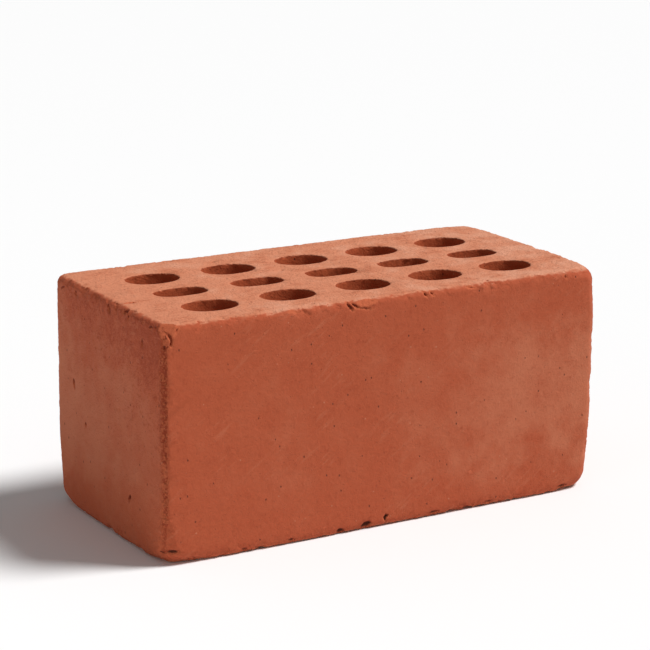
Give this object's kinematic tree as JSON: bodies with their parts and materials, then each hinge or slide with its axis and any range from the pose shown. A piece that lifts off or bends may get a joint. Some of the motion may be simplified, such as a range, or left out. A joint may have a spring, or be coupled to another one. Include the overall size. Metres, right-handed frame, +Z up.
{
  "type": "perforated clay brick",
  "caption": "Extruded and wire-cut clay building brick, square on end, with rows of upright oval perforations right through it that key the mortar and save weight.",
  "frame": {"origin": "middle of the lower bed face, on the surface that the brick stands on", "axes": "+X along the stretcher faces, +Y across the brick from the front stretcher face to the back one, +Z up along the perforations"},
  "size_m": [0.25, 0.12, 0.118],
  "materials": {
    "fired_clay": "matte, unglazed, fine sandy skin"
  },
  "bodies": {
    "root": {"brick_body": "fired_clay"}
  },
  "joints": []
}
